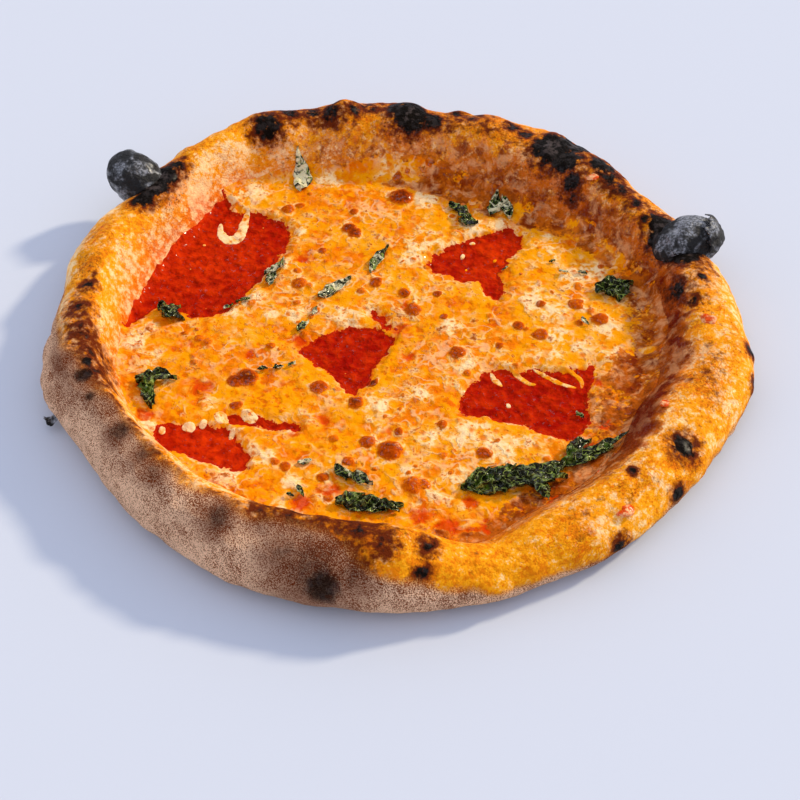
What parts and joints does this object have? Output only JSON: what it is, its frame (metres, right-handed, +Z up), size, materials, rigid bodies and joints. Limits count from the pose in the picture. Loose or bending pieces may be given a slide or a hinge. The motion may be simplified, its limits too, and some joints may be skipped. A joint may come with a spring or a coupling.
{
  "type": "margherita pizza",
  "caption": "Round wood-fired pizza with a puffy charred rim, tomato sauce, melted cheese and basil leaves, flat underneath.",
  "frame": {"origin": "centre of the flat underside, on the surface that the pizza lies on", "axes": "+Z up out of the toppings; -Y is the front, where the rim is floury and toasted; +X is the right of someone facing that side"},
  "size_m": [0.3188, 0.315, 0.0375],
  "materials": {
    "dough": "baked dough, dry, golden with brown and black char",
    "tomato_sauce": "wet, glossy and lumpy",
    "melted_cheese": "oily, cream and orange, with brown blisters",
    "basil": "wilted, dark, oiled"
  },
  "bodies": {
    "root": {"crust": "dough", "sauce": "tomato_sauce", "cheese": "melted_cheese", "basil_front_right_long": "basil", "basil_front_right_tip": "basil", "basil_front": "basil", "basil_left": "basil", "basil_back_left": "basil", "basil_bay": "basil", "basil_centre": "basil", "basil_centre_back": "basil", "basil_back": "basil", "basil_back_right": "basil", "basil_right": "basil", "basil_back_wall": "basil", "basil_front_left": "basil"}
  },
  "joints": []
}
